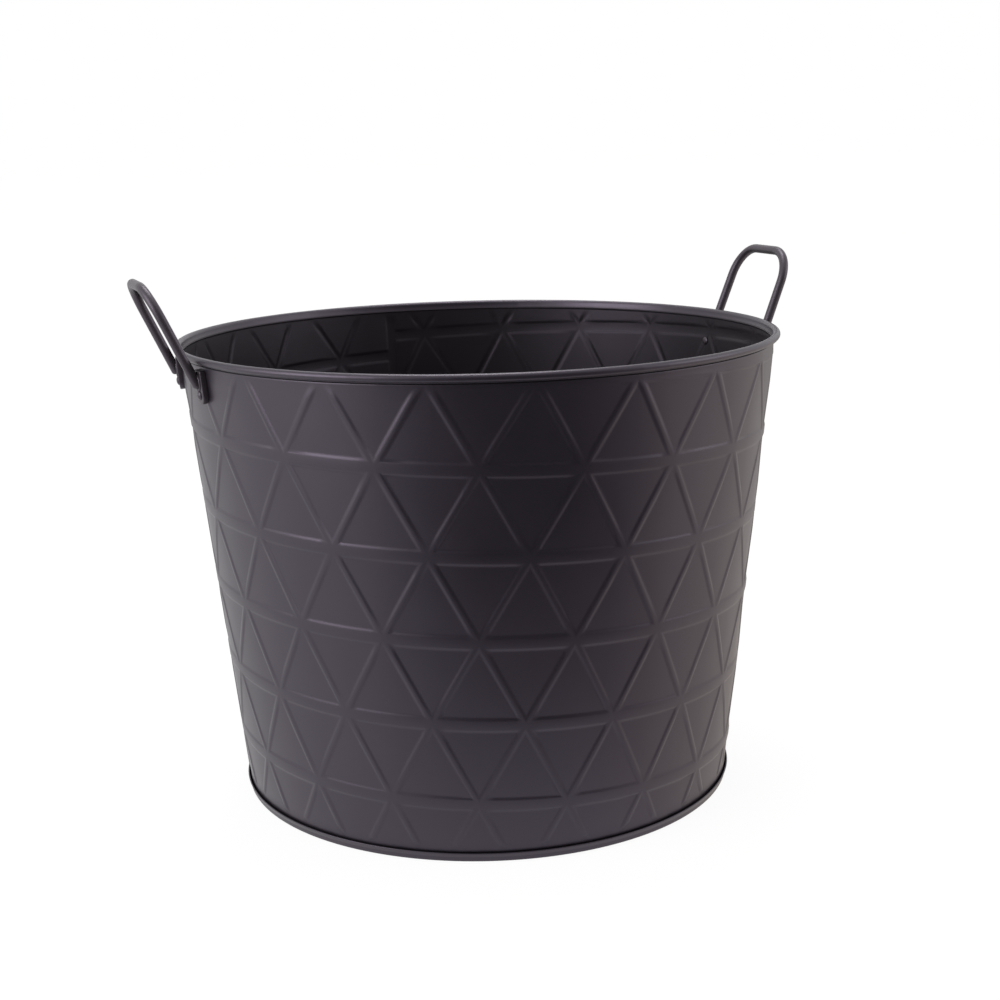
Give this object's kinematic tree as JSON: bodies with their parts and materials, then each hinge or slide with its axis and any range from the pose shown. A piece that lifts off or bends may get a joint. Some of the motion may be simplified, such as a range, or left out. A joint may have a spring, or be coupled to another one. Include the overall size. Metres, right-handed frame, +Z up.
{
  "type": "log bucket",
  "caption": "Round tapered sheet-metal log bucket with a rolled rim, raised triangle pattern and a loop handle on each side.",
  "frame": {"origin": "centre of the base, on the surface that the bucket stands on", "axes": "+Z up along the bucket's axis, +X towards the right handle and -X towards the left one; the wall's side seam is at +Y"},
  "size_m": [0.5075, 0.452, 0.3976],
  "materials": {
    "painted_steel": "satin black powder coat"
  },
  "bodies": {
    "root": {"bucket_wall": "painted_steel", "rim_wire": "painted_steel", "base_pan": "painted_steel", "left_handle": "painted_steel", "right_handle": "painted_steel", "left_front_tab": "painted_steel", "left_back_tab": "painted_steel", "right_front_tab": "painted_steel", "right_back_tab": "painted_steel", "tab_rivets": "painted_steel"}
  },
  "joints": []
}
